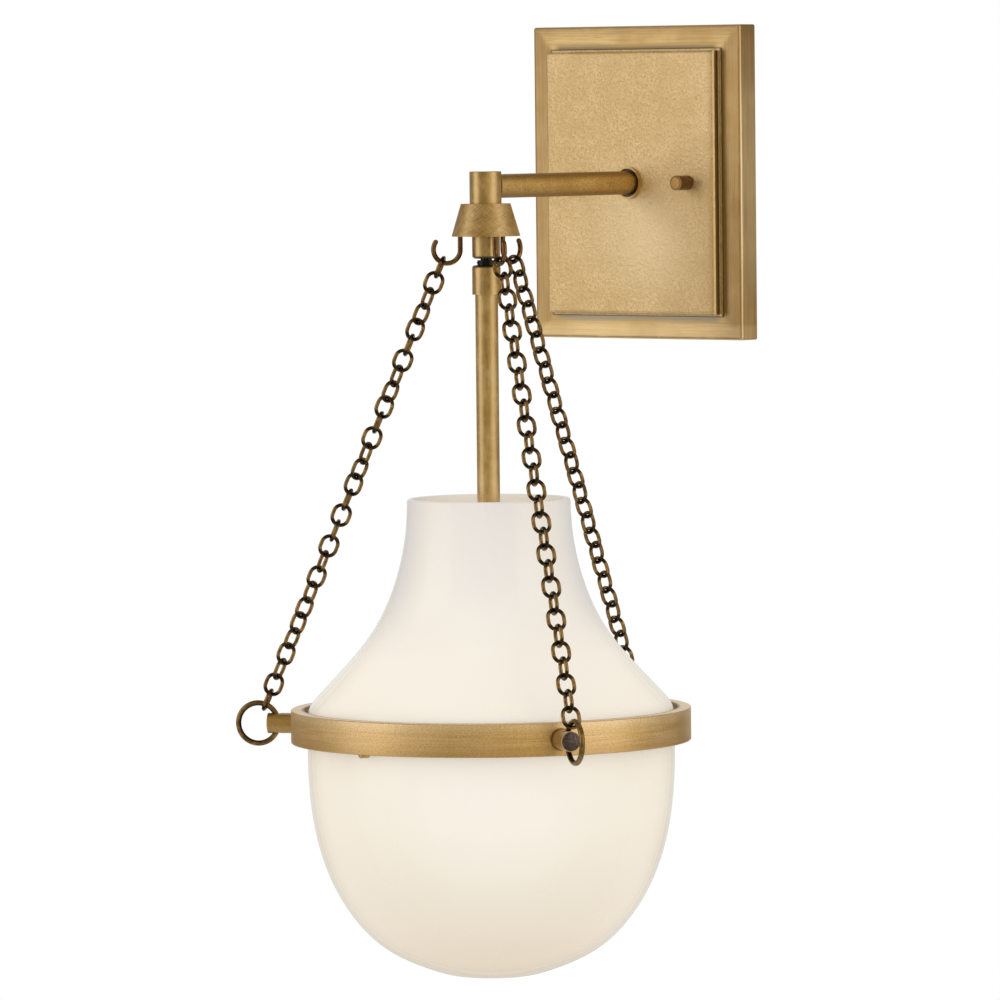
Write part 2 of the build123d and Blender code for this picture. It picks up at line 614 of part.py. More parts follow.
# ---- band ----
def make_shade_band():
    skirt_radius = BAND_RADIUS - RETAINER_SKIRT
    outline = [
        (BAND_LIP_RADIUS, BAND_TOP_Z), (BAND_RADIUS - BAND_EDGE, BAND_TOP_Z),
        (BAND_RADIUS, BAND_TOP_Z - BAND_EDGE), (BAND_RADIUS, BAND_BOTTOM_Z + BAND_EDGE),
        (BAND_RADIUS - BAND_EDGE, BAND_BOTTOM_Z), (skirt_radius, BAND_BOTTOM_Z),
        (skirt_radius, RETAINER_TOP_Z), (BAND_POCKET_RADIUS, RETAINER_TOP_Z),
        (BAND_POCKET_RADIUS, POCKET_TOP_Z), (BAND_LIP_RADIUS, POCKET_TOP_Z),
    ]
    band = turned(outline)
    spigot_hole = Rot(0, 90, 0) * tube(STUB_SPIGOT_RADIUS + RUNNING_FIT, 0, BAND_POCKET_RADIUS, BAND_RADIUS)
    for azimuth in CHAIN_AZIMUTHS.values():
        band -= at_azimuth(azimuth, Pos(0, 0, STUB_Z) * spigot_hole)
    screw_hole = tube(SCREW_RADIUS + RUNNING_FIT, 0, RETAINER_TOP_Z, BAND_BOTTOM_Z + SCREW_LENGTH + LOOSE_GAP)
    for azimuth in SCREW_AZIMUTHS:
        band -= at_azimuth(azimuth, Pos(RETAINER_SCREW_CIRCLE, 0, 0) * screw_hole)
    return hung(band)


def make_gasket(bottom, top, inner_radius):
    return hung(tube(BAND_POCKET_RADIUS - RUNNING_FIT, inner_radius, bottom, top))


def make_retaining_ring():
    radius = BAND_RADIUS - RETAINER_SKIRT - RUNNING_FIT
    ring = tube(radius, RETAINER_INNER_RADIUS, BAND_BOTTOM_Z, RETAINER_TOP_Z)
    hole = tube(SCREW_RADIUS + RUNNING_FIT, 0, BAND_BOTTOM_Z, RETAINER_TOP_Z)
    for azimuth in SCREW_AZIMUTHS:
        ring -= at_azimuth(azimuth, Pos(RETAINER_SCREW_CIRCLE, 0, 0) * hole)
    return hung(ring)


def make_retainer_screws():
    shank = tube(SCREW_RADIUS, 0, BAND_BOTTOM_Z, BAND_BOTTOM_Z + SCREW_LENGTH)
    head = tube(SCREW_HEAD_RADIUS, 0, BAND_BOTTOM_Z - SCREW_HEAD, BAND_BOTTOM_Z)
    head = fillet(head.edges().sort_by(Axis.Z)[0], SCREW_HEAD_ROUND)
    slot = Box(2 * SCREW_HEAD_RADIUS, SCREW_SLOT_WIDTH, 2 * SCREW_SLOT_DEPTH)
    head -= Pos(0, 0, BAND_BOTTOM_Z - SCREW_HEAD) * slot
    screw = Pos(RETAINER_SCREW_CIRCLE, 0, 0) * (shank + head)
    return group([hung(at_azimuth(azimuth, screw)) for azimuth in SCREW_AZIMUTHS])


def make_stub(azimuth):
    reach = STUB_END - BAND_RADIUS
    bulge = (STUB_RADIUS**2 + STUB_DOME**2) / (2 * STUB_DOME)
    stub = tube(STUB_RADIUS, 0, 0, reach) & Pos(0, 0, reach - bulge) * Sphere(bulge)
    stub += tube(STUB_FOOT_RADIUS, 0, 0, STUB_FOOT)
    stub += tube(STUB_SPIGOT_RADIUS, 0, -STUB_SPIGOT, 0)
    stub = Pos(BAND_RADIUS, 0, STUB_Z) * Rot(0, 90, 0) * stub
    stub -= Pos(RING_HOLE_AT, 0, STUB_Z) * Cylinder(RING_HOLE_RADIUS, 3 * STUB_RADIUS)
    return hung(at_azimuth(azimuth, stub))


def make_ring(azimuth):
    ring = Pos(RING_CENTRE, 0, STUB_Z) * Rot(90, 0, 0) * Torus(RING_RADIUS, RING_WIRE)
    return hung(at_azimuth(azimuth, ring))


# ---- chains ----
def make_link():
    """One oval link in the XY plane, long along X, centred on the origin."""
    bend = LINK_WIDTH / 2 - CHAIN_WIRE
    straight = LINK_INNER + 2 * CHAIN_WIRE - 2 * bend
    end = Pos(straight / 2, 0, 0) * Rot(0, 0, -90) * bent_wire(bend, CHAIN_WIRE, 180)
    side = Pos(0, bend, 0) * Rot(0, 90, 0) * Cylinder(CHAIN_WIRE, straight)
    return end + side + Rot(0, 0, 180) * end + Rot(0, 0, 180) * side


def link_turns(loose_steps):
    """Each link's turn about the chain, in degrees. Both end links stand square to the hook and the ring."""
    last_steps = LINK_COUNT - 1 - loose_steps
    turned_so_far = loose_steps * LOOSE_TWIST
    half_turns = round((turned_so_far + last_steps * STRAIGHT_TWIST) / 180.0)
    last_twist = (half_turns * 180.0 - turned_so_far) / last_steps
    turns = [0.0]
    for step in range(LINK_COUNT - 1):
        turns.append(turns[-1] + (LOOSE_TWIST if step < loose_steps else last_twist))
    return turns


def make_chain(link, name):
    slope = math.radians(CHAIN_SLOPE)
    along = Vector(math.sin(slope), 0, -math.cos(slope))
    sideways = Vector(0, 1, 0)
    across = along.cross(sideways)
    top = Vector(CHAIN_HOOK[0], 0, CHAIN_HOOK[1])
    links = []
    for number, turn in enumerate(link_turns(LOOSE_STEPS[name])):
        centre = top + along * (LINK_INNER / 2 - HOOK_SEAT + number * (LINK_INNER - LINK_GAP))
        angle = math.radians(turn)
        face = across * math.cos(angle) - sideways * math.sin(angle)
        place = Plane(origin=centre, x_dir=along, z_dir=face).location
        links.append(hung(at_azimuth(CHAIN_AZIMUTHS[name], place * link)))
    return group(links)


def make_parts():
    link = make_link()
    gasket_bore = GLASS_RADIUS + GASKET_INNER_GAP
    parts = {
        "wall_pan": make_wall_pan(),
        "raised_panel": make_raised_panel(),
        "box_strap": make_box_strap(),
        "crossbar": make_crossbar(),
        "strap_rivet": make_strap_rivet(),
        "stud_screws": make_stud_screws(),
        "ground_screw": make_ground_screw(),
        "cap_nut_left": make_cap_nut(-1),
        "cap_nut_right": make_cap_nut(1),
        "arm_collar": make_arm_collar(),
        "arm_tube": make_arm_tube(),
        "arm_washer": make_arm_washer(),
        "arm_locknut": make_arm_locknut(),
        "arm_hub": make_arm_hub(),
        "hub_nipple": make_hub_nipple(),
        "hook_cup": make_hook_cup(),
        "cup_spacer": make_cup_spacer(),
        "hook_plate": make_hook_plate(),
        "upper_coupling": make_upper_coupling(),
        "swivel_ball": make_swivel_ball(),
        "swivel_locknut": make_swivel_locknut(),
        "lower_coupling": make_lower_coupling(),
        "stem_tube": make_stem_tube(),
        "socket_cup": make_socket_cup(),
        "lampholder": make_lampholder(),
        "bulb_base": make_bulb_base(),
        "bulb_glass": make_bulb_glass(),
        "glass_shade": make_glass_shade(),
        "shade_band": make_shade_band(),
        "upper_gasket": make_gasket(BEAD_TOP_Z, POCKET_TOP_Z, gasket_bore),
        "lower_gasket": make_gasket(RETAINER_TOP_Z, BEAD_BOTTOM_Z, gasket_bore),
        "retaining_ring": make_retaining_ring(),
        "retainer_screws": make_retainer_screws(),
    }
    for name, azimuth in CHAIN_AZIMUTHS.items():
        parts["hook_" + name] = make_hook(azimuth)
        parts["stub_" + name] = make_stub(azimuth)
        parts["ring_" + name] = make_ring(azimuth)
        parts["chain_" + name] = make_chain(link, name)
    return parts


def main():
    os.makedirs("parts", exist_ok=True)
    for name, shape in make_parts().items():
        export_step(shape, f"parts/{name}.step")
    print(f"chain: {LINK_COUNT} links, inner length {LINK_INNER:.3f}, slope {CHAIN_SLOPE:.3f}")
    print(f"chain from {CHAIN_HOOK} to {CHAIN_RING}, {CHAIN_LENGTH:.2f} long, swing centre Z {SWING_Z:.3f}")


main()
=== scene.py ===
"""Looks of the hanging pendant wall sconce: finishes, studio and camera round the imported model."""

import math

import bpy
from mathutils import Matrix, Vector


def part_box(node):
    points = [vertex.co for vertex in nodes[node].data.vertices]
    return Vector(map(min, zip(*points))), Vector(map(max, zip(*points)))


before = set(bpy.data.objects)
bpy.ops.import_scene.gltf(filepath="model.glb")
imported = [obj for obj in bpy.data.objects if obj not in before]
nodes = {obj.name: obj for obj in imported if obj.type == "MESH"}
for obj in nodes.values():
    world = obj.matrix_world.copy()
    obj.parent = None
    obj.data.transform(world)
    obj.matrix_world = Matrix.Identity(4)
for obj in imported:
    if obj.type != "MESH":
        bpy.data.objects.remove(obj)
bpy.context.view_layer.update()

MM = 0.001

# ---- sizes that the finishes follow, in metres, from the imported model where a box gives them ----
plate_low, plate_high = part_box("wall_pan")
panel_low, panel_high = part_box("raised_panel")
collar_low, collar_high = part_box("arm_collar")
nut_low, nut_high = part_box("cap_nut_right")
band_low, band_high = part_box("shade_band")
stub_low, stub_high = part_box("stub_back")
ring_low, ring_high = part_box("ring_back")

REACH = -(band_low.y + band_high.y) / 2.0  # from the wall to the vertical hang axis
PLATE_HALF_WIDTH = plate_high.x
PLATE_HALF_HEIGHT = plate_high.z
PAN_FACE = -plate_low.y
PANEL_HALF_WIDTH = panel_high.x
PANEL_HALF_HEIGHT = panel_high.z
LEDGE_FACE = 14.9 * MM
PANEL_FACE = -panel_low.y
COLLAR_RADIUS = collar_high.x
NUT_AXIS = (nut_low.x + nut_high.x) / 2.0
NUT_RADIUS = (nut_high.x - nut_low.x) / 2.0
HUB_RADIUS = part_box("arm_hub")[1].x
CUP_RADIUS = 16.3 * MM  # halfway down the cone
SWIVEL_GAP_Z = (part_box("upper_coupling")[0].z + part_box("lower_coupling")[1].z) / 2.0
BAND_RADIUS = (band_high.x - band_low.x) / 2.0
BAND_LIP_RADIUS = 103.4 * MM
BAND_MIDDLE = (band_low.z + band_high.z) / 2.0
STUB_Z = (stub_low.z + stub_high.z) / 2.0
STUB_RADIUS = 5.65 * MM
STUB_TURNS = tuple(math.radians(turn) for turn in (0.0, 120.0, 240.0))  # from the wall side
STUB_END = REACH + stub_high.y
RING_CENTRE = REACH + (ring_low.y + ring_high.y) / 2.0
RING_RADIUS = (ring_high.z - ring_low.z) / 2.0 - ring_high.x  # to the middle of the wire
CHAIN_TOP_OUT = 24.7855 * MM  # from the hang axis to the hook's seat
CHAIN_TOP_Z = -41.5227 * MM
CHAIN_SLOPE = math.radians(22.627)
LINK_STEP = 9.251 * MM
LINK_START = 1.675 * MM
RIM_Z = -173.2 * MM
GLASS_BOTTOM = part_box("glass_shade")[0].z

# ---- colours, linear ----
BRASS_DARK = (0.20, 0.112, 0.030)
BRASS = (0.47, 0.305, 0.100)
BRASS_PALE = (0.64, 0.450, 0.195)
PANEL_BRASS = (0.90, 0.695, 0.405)
PANEL_SHADE = (0.73, 0.540, 0.280)
PANEL_PIT = (0.48, 0.325, 0.135)
# pale blotches on the panel, and its painted pool of light
PANEL_PALE_AND_GLOW = (0.96, 0.80, 0.55)
# painted sheen on the pan's sides
SIDE_SHEEN_BRASS = (0.84, 0.72, 0.50)
# the pan's rim, pale as wear and as a painted highlight, and the painted highlight on the panel's right edge
EDGE_HIGHLIGHT_BRASS = (0.95, 0.74, 0.42)
UMBER = (0.44, 0.255, 0.080)
PATINA = (0.110, 0.082, 0.036)
PATINA_PALE = (0.33, 0.30, 0.235)
OLIVE = (0.170, 0.118, 0.026)
# near black: painted shade in gaps, grooves and down the panel's sides, and the darkest streaks of some
# finishes
RECESS_SHADE_AND_DARK = (0.035, 0.022, 0.010)
# nearly black: painted shade inside the rings, and patina with painted shade where chain links meet
PITCH = (0.006, 0.003, 0.001)

# ---- depths of the reliefs ----
BRUSH_RELIEF = 0.01 * MM
PLATE_RELIEF = 0.04 * MM
LEATHER_RELIEF = 0.6 * MM


class Nodes:
    """A node tree. Each method adds a node, or a few, and gives back an output socket."""

    def __init__(self, tree, place):
        self.tree = tree
        tree.nodes.clear()
        self.place = tree.nodes.new("ShaderNodeTexCoord").outputs[place]

    def feed(self, socket, value):
        """Links an output to a socket, or sets the socket's own value. A colour is three numbers."""
        if isinstance(value, bpy.types.NodeSocket):
            self.tree.links.new(value, socket)
        elif socket.type == "RGBA":
            socket.default_value = (*value, 1.0)
        else:
            socket.default_value = value

    def math(self, operation, first, second=0.0, clamp=False):
        node = self.tree.nodes.new("ShaderNodeMath")
        node.operation = operation
        node.use_clamp = clamp
        self.feed(node.inputs[0], first)
        self.feed(node.inputs[1], second)
        return node.outputs[0]

    def product(self, *factors):
        result = factors[0]
        for factor in factors[1:]:
            result = self.math("MULTIPLY", result, factor)
        return result

    def vector(self, operation, first, second=(0.0, 0.0, 0.0)):
        node = self.tree.nodes.new("ShaderNodeVectorMath")
        node.operation = operation
        self.feed(node.inputs[0], first)
        self.feed(node.inputs[1], second)
        return node.outputs["Value" if operation in ("LENGTH", "DOT_PRODUCT", "DISTANCE") else "Vector"]

    def axis(self, name, place=None):
        node = self.tree.nodes.new("ShaderNodeSeparateXYZ")
        self.feed(node.inputs[0], self.place if place is None else place)
        return node.outputs[name]

    def point(self, x, y, z):
        node = self.tree.nodes.new("ShaderNodeCombineXYZ")
        for socket, value in zip(node.inputs, (x, y, z)):
            self.feed(socket, value)
        return node.outputs[0]

    def stretched(self, factors, turn=0.0, place=None):
        """A place turned about Z and then scaled, so that a noise in it becomes lines."""
        node = self.tree.nodes.new("ShaderNodeMapping")
        node.vector_type = "TEXTURE"
        self.feed(node.inputs["Vector"], self.place if place is None else place)
        node.inputs["Rotation"].default_value = (0.0, 0.0, turn)
        node.inputs["Scale"].default_value = tuple(1.0 / factor for factor in factors)
        return node.outputs[0]

    def noise(self, scale=1.0, place=None, detail=3.0, roughness=0.5):
        node = self.tree.nodes.new("ShaderNodeTexNoise")
        self.feed(node.inputs["Vector"], self.place if place is None else place)
        node.inputs["Scale"].default_value = scale
        node.inputs["Detail"].default_value = detail
        node.inputs["Roughness"].default_value = roughness
        return node.outputs[0]

    def ramp(self, value, low, high, start=0.0, end=1.0, smooth=True):
        """Goes from start, where the value is low, to end, where it is high. low may be the greater one."""
        node = self.tree.nodes.new("ShaderNodeMapRange")
        node.interpolation_type = "SMOOTHSTEP" if smooth else "LINEAR"
        for name, given in (("Value", value), ("From Min", low), ("From Max", high),
                            ("To Min", start), ("To Max", end)):
            self.feed(node.inputs[name], given)
        return node.outputs[0]

    def steps(self, value, stops):
        """A smooth colour scale: stops are (position, colour) pairs."""
        node = self.tree.nodes.new("ShaderNodeValToRGB")
        self.feed(node.inputs[0], value)
        elements = node.color_ramp.elements
        for position, colour in stops[1:-1]:
            elements.new(position).color = (*colour, 1.0)
        for element, (position, colour) in ((elements[0], stops[0]), (elements[-1], stops[-1])):
            element.position = position
            element.color = (*colour, 1.0)
        return node.outputs[0]

    def mix(self, amount, first, second, blend="MIX"):
        node = self.tree.nodes.new("ShaderNodeMix")
        node.data_type = "RGBA"
        node.blend_type = blend
        self.feed(node.inputs["Factor"], amount)
        self.feed(node.inputs[6], first)
        self.feed(node.inputs[7], second)
        return node.outputs[2]


class Finish(Nodes):
    """A procedural material. Its tone is the colour so far, over which further colours are laid."""

    def __init__(self, name):
        self.material = bpy.data.materials.new(name)
        self.material.use_nodes = True
        super().__init__(self.material.node_tree, "Object")
        self.shader = self.tree.nodes.new("ShaderNodeBsdfPrincipled")
        output = self.tree.nodes.new("ShaderNodeOutputMaterial")
        self.tree.links.new(self.shader.outputs["BSDF"], output.inputs["Surface"])
        self.tone = None

    def set(self, **values):
        for name, value in values.items():
            self.feed(self.shader.inputs[name.replace("_", " ")], value)

    def lay(self, colour, *masks):
        """Lays a colour over the tone, as strongly as the product of the masks says."""
        self.tone = self.mix(self.product(*masks), self.tone, colour)

    def bump(self, height, depth, strength=1.0):
        node = self.tree.nodes.new("ShaderNodeBump")
        node.inputs["Strength"].default_value = strength
        node.inputs["Distance"].default_value = depth
        self.feed(node.inputs["Height"], height)
        self.feed(self.shader.inputs["Normal"], node.outputs[0])

    def from_hang_axis(self):
        return self.vector("ADD", self.place, (0.0, REACH, 0.0))

    def hang_radius(self):
        """Distance from the vertical hang axis."""
        flat = self.vector("MULTIPLY", self.from_hang_axis(), (1.0, 1.0, 0.0))
        return self.vector("LENGTH", flat)

    def wrapped(self, radius):
        """A place unrolled from round the hang axis: arc length from the room side, then height."""
        from_hang = self.from_hang_axis()
        toward_room = self.math("MULTIPLY", self.axis("Y", from_hang), -1.0)
        turn = self.math("ARCTAN2", self.axis("X", from_hang), toward_room)
        return self.point(self.math("MULTIPLY", turn, radius), self.axis("Z"), 0.0)


def paint(finish, *names):
    """Gives the finish to the named pieces of the model."""
    finish.set(Base_Color=finish.tone)
    for name in names:
        mesh = nodes[name].data
        mesh.materials.clear()
        mesh.materials.append(finish.material)


def aged_brass(name, along, pale=BRASS_PALE, body=BRASS, dark=BRASS_DARK, cloud=45.0, streaks=0.25,
               roughness=0.48, coat=0.5):
    """Brushed, aged brass. along is the streak scale on each axis, small along the brushing."""
    finish = Finish(name)
    clouds = finish.noise(cloud, detail=4.0, roughness=0.6)
    lines = finish.noise(1.0, finish.stretched(along), detail=4.0, roughness=0.65)
    fine = finish.noise(1.0, finish.stretched(tuple(2.7 * factor for factor in along)), detail=2.0)
    finish.tone = finish.mix(finish.ramp(clouds, 0.3, 0.7), body, pale)
    finish.lay(dark, finish.ramp(lines, 0.62, 0.30, 0.0, streaks))
    finish.set(Metallic=1.0, Coat_Weight=coat, Coat_Roughness=0.32,
               Roughness=finish.ramp(finish.math("ADD", lines, clouds), 0.7, 1.3, roughness - 0.06,
                                     roughness + 0.08))
    finish.bump(finish.math("ADD", lines, finish.product(fine, 0.5)), BRUSH_RELIEF, 0.6)
    return finish


def mottled(name, first, second, scale, detail, rough, relief, blend=(0.3, 0.7), **settings):
    """Two near tones mixed by a noise, which also varies the roughness. relief is (depth, strength)."""
    finish = Finish(name)
    pattern = finish.noise(scale, detail=detail)
    finish.tone = finish.mix(finish.ramp(pattern, *blend), first, second)
    finish.set(Roughness=finish.ramp(pattern, 0.3, 0.7, *rough), **settings)
    finish.bump(pattern, *relief)
    return finish


# ---- wall plate ----
def plate_finish():
    """The wall pan: brushed along each border, stained round the panel with painted shade mixed in, darker
    at the edges, with painted shade and sheen on its borders and sides and a painted highlight on its rim.
    """
    plate = Finish("brushed_plate_brass")
    across, depth, height = (plate.axis(name) for name in "XYZ")
    from_side = plate.math("SUBTRACT", PLATE_HALF_WIDTH, plate.math("ABSOLUTE", across))
    from_end = plate.math("SUBTRACT", PLATE_HALF_HEIGHT, plate.math("ABSOLUTE", height))
    from_edge = plate.math("MINIMUM", from_side, from_end)
    past_side = plate.math("SUBTRACT", plate.math("ABSOLUTE", across), PANEL_HALF_WIDTH)
    past_end = plate.math("SUBTRACT", plate.math("ABSOLUTE", height), PANEL_HALF_HEIGHT)
    past_panel = plate.math("MAXIMUM", past_side, past_end)
    on_face = plate.math("LESS_THAN", depth, 1.0 * MM - PAN_FACE)
    on_side = plate.math("LESS_THAN", from_edge, 0.4 * MM)
    on_right = plate.ramp(across, 0.0, 10.0 * MM)
    clouds = plate.noise(38.0, detail=4.0)
    ragged = plate.noise(120.0, detail=2.0)

    # the brushing turns at a ragged mitre in each corner
    past_mitre = plate.math("ADD", plate.math("SUBTRACT", from_end, from_side),
                            plate.ramp(ragged, 0.0, 1.0, -2.0 * MM, 2.0 * MM))
    upright = plate.ramp(past_mitre, -3.0 * MM, 3.0 * MM)
    upright_lines = plate.noise(1.0, plate.stretched((1500.0, 1500.0, 22.0)), detail=4.0, roughness=0.65)
    level_lines = plate.noise(1.0, plate.stretched((22.0, 1500.0, 1500.0)), detail=4.0, roughness=0.65)
    lines = plate.math("ADD", plate.product(upright, upright_lines),
                       plate.product(plate.math("SUBTRACT", 1.0, upright), level_lines))
    plate.tone = plate.mix(plate.ramp(clouds, 0.32, 0.68), BRASS, BRASS_PALE)
    plate.lay(BRASS_DARK, plate.ramp(lines, 0.58, 0.38, 0.0, 0.48))
    # painted shade: the upright borders darker than the level ones, a little more on the left
    plate.lay(BRASS_DARK, upright, plate.ramp(across, -70.0 * MM, 70.0 * MM, 0.42, 0.36))

    # patina where the panel stands on the pan, deepened by painted shade beside its right side, and a
    # painted contact shadow at its foot
    stain_reach = plate.ramp(clouds, 0.3, 0.7, 3.0 * MM, 5.2 * MM)
    end_stain = plate.product(plate.ramp(past_end, stain_reach, 0.0), plate.ramp(past_side, 0.0, -7.0 * MM))
    side_stain_and_shade = plate.product(plate.ramp(past_side, plate.product(stain_reach, 1.15), 0.0), on_right,
                               plate.ramp(past_end, 1.0 * MM, -1.0 * MM))
    # painted shade mixed into the olive patina beside the panel's right side
    plate.lay(OLIVE, side_stain_and_shade, on_face, 0.72)
    plate.lay(PATINA, end_stain, on_face, 0.9)
    plate.lay(PATINA_PALE, plate.math("LESS_THAN", height, 0.0), end_stain, on_face, 0.8)
    # painted contact shadow where the panel meets the pan
    plate.lay(RECESS_SHADE_AND_DARK, on_face, plate.ramp(past_panel, 0.9 * MM, 0.2 * MM, 0.0, 0.85))

    # painted shade along the top, at the top of the uprights and in the lower right corner; browner along
    # the right rim; a painted sheen at the foot; a ragged dark line inside the edge
    plate.lay(BRASS_DARK, plate.ramp(height, 0.0, 20.0 * MM),
              plate.ramp(from_end, 8.5 * MM, 1.0 * MM, 0.0, 0.40))
    plate.lay(BRASS_DARK, upright, plate.ramp(height, 45.0 * MM, 80.0 * MM, 0.0, 0.24))
    plate.lay(BRASS_DARK, on_face,
              plate.ramp(plate.math("SUBTRACT", across, height), 126.0 * MM, 156.0 * MM, 0.0, 0.55))
    plate.lay(UMBER, on_face, plate.ramp(from_side, 6.5 * MM, 2.0 * MM, 0.0, 0.22), on_right)
    # painted sheen: the lower border paler
    plate.lay(PANEL_BRASS, plate.ramp(height, -20.0 * MM, -50.0 * MM),
              plate.ramp(from_end, 10.0 * MM, 6.0 * MM, 0.0, 0.25))
    plate.lay(BRASS_DARK, on_face, plate.ramp(from_edge, 2.2 * MM, 1.3 * MM, 0.0, 0.45),
              plate.ramp(ragged, 0.3, 0.6, 0.4, 1.0))

    # the sides: a painted sheen, brightest halfway up, and painted shade toward their top; and the edge
    # between them and the face, paler as wear and as a painted highlight
    plate.lay(SIDE_SHEEN_BRASS, on_side, plate.ramp(depth, 3.0 * MM - PAN_FACE, 0.4 * MM - PAN_FACE, 0.24, 0.50),
              plate.ramp(plate.math("ABSOLUTE", height), 85.0 * MM, 30.0 * MM))
    plate.lay(BRASS_DARK, on_side, plate.ramp(height, 30.0 * MM, PLATE_HALF_HEIGHT, 0.0, 0.35))
    worn_and_highlight = plate.mix(plate.ramp(depth, 1.2 * MM - PAN_FACE, 0.6 * MM - PAN_FACE), plate.tone, EDGE_HIGHLIGHT_BRASS)
    plate.lay(worn_and_highlight, plate.ramp(from_edge, 1.0 * MM, 0.6 * MM, 0.0, 0.5))
    plate.set(Metallic=1.0, Coat_Weight=0.6, Coat_Roughness=0.30,
              Roughness=plate.ramp(lines, 0.3, 0.7, 0.40, 0.50))
    plate.bump(lines, PLATE_RELIEF, 0.8)
    return plate


def panel_finish():
    """The raised panel: satin, pitted brass with pale blotches, a painted pool of light below and right of
    the arm, a browner strip and a painted highlight along the right edge, painted shade on its sides and a
    painted contact shadow along its left edge.
    """
    panel = Finish("satin_panel_brass")
    across, depth, height = (panel.axis(name) for name in "XYZ")
    speckle = panel.noise(800.0, detail=3.0, roughness=0.7)
    grain = panel.noise(480.0, detail=4.0, roughness=0.62)
    clouds = panel.noise(60.0, detail=5.0, roughness=0.6)
    broad = panel.noise(15.0, detail=2.0)
    panel.tone = panel.mix(panel.ramp(clouds, 0.35, 0.65), PANEL_SHADE, PANEL_BRASS)
    panel.lay(PANEL_SHADE, panel.ramp(speckle, 0.60, 0.40, 0.0, 0.75))
    panel.lay(PANEL_PIT, panel.ramp(speckle, 0.50, 0.38, 0.0, 0.36))
    panel.lay(BRASS_PALE, panel.ramp(grain, 0.62, 0.38, 0.0, 0.30))
    panel.lay(PANEL_PALE_AND_GLOW, panel.ramp(broad, 0.42, 0.70, 0.0, 0.20))
    # painted pool of light: a pale patch below and right of the arm
    from_painted_glow = panel.vector("DISTANCE", panel.point(across, 0.0, height), (16.0 * MM, 0.0, -32.0 * MM))
    panel.lay(PANEL_PALE_AND_GLOW, panel.ramp(from_painted_glow, 50.0 * MM, 0.0, 0.0, 0.55))
    from_right = panel.math("SUBTRACT", PANEL_HALF_WIDTH, across)
    # a browner strip near the right edge, and a painted highlight on the rounded edge itself
    panel.lay(UMBER, panel.ramp(from_right, 6.0 * MM, 2.5 * MM, 0.0, 0.30),
              panel.ramp(from_right, 1.2 * MM, 1.8 * MM))
    panel.lay(EDGE_HIGHLIGHT_BRASS, panel.ramp(from_right, 1.6 * MM, 1.0 * MM, 0.0, 0.5))
    # painted shade on the panel's sides, darkening toward the pan
    behind_face = panel.math("GREATER_THAN", depth, 1.8 * MM - PANEL_FACE)
    before_ledge = panel.math("LESS_THAN", depth, -0.2 * MM - LEDGE_FACE)
    side_shade = panel.mix(panel.ramp(depth, 1.8 * MM - PANEL_FACE, 4.8 * MM - PANEL_FACE),
                          (0.24, 0.165, 0.045), RECESS_SHADE_AND_DARK)
    panel.lay(side_shade, behind_face, before_ledge, 0.95)
    # painted contact shadow along the left edge
    from_left = panel.math("ADD", PANEL_HALF_WIDTH, across)
    panel.lay(BRASS_DARK, panel.ramp(from_left, 2.0 * MM, 1.4 * MM, 0.0, 0.75))
    panel.set(Metallic=1.0, Coat_Weight=0.25, Coat_Roughness=0.35,
              Roughness=panel.ramp(clouds, 0.3, 0.7, 0.50, 0.58))
    panel.bump(panel.math("ADD", grain, panel.product(speckle, 0.5)), LEATHER_RELIEF, 0.9)
    return panel


# ---- arm, hub and cup ----
def arm_finish():
    """The arm: fine grain, painted shade toward the top and bottom, and a painted shadow line at the hub."""
    arm = aged_brass("brushed_arm_brass", (1100.0, 1700.0, 1100.0), pale=(0.84, 0.59, 0.240),
                     body=(0.72, 0.49, 0.160), cloud=60.0, streaks=0.40, coat=0.25)
    mottle = arm.noise(1.0, arm.stretched((1700.0, 900.0, 1700.0)), detail=4.0, roughness=0.65)
    arm.lay(BRASS_DARK, arm.ramp(mottle, 0.60, 0.40, 0.0, 0.42))
    # painted shade toward the top and bottom of the tube
    from_middle = arm.math("ABSOLUTE", arm.axis("Z"))
    arm.lay((0.21, 0.100, 0.012), arm.ramp(from_middle, 2.2 * MM, 6.0 * MM, 0.0, 0.78))
    # painted shadow line where the arm meets the hub
    arm.lay(RECESS_SHADE_AND_DARK, arm.ramp(arm.hang_radius(), HUB_RADIUS + 0.7 * MM, HUB_RADIUS + 0.3 * MM))
    return arm


def nut_finish():
    """The cap nuts: painted light and shade, dark turned brass with the end face painted lighter, inside a
    dark rim line.
    """
    nut = aged_brass("turned_nut_brass", (250.0, 1400.0, 250.0), pale=(0.23, 0.125, 0.040),
                     body=(0.13, 0.062, 0.018), dark=RECESS_SHADE_AND_DARK, cloud=350.0)
    from_axis = nut.math("SUBTRACT", nut.math("ABSOLUTE", nut.axis("X")), NUT_AXIS)
    from_stud = nut.vector("LENGTH", nut.point(from_axis, 0.0, nut.axis("Z")))
    # painted light: the end face lighter than the shaded side
    on_end = nut.ramp(nut.axis("Y"), nut_low.y + 0.6 * MM, nut_low.y + 0.3 * MM)
    nut.lay((0.50, 0.30, 0.10), on_end)
    nut.lay((0.16, 0.08, 0.024), nut.ramp(from_stud, NUT_RADIUS - 1.1 * MM, NUT_RADIUS - 0.8 * MM),
            nut.ramp(from_stud, NUT_RADIUS - 0.3 * MM, NUT_RADIUS - 0.6 * MM), on_end)
    return nut


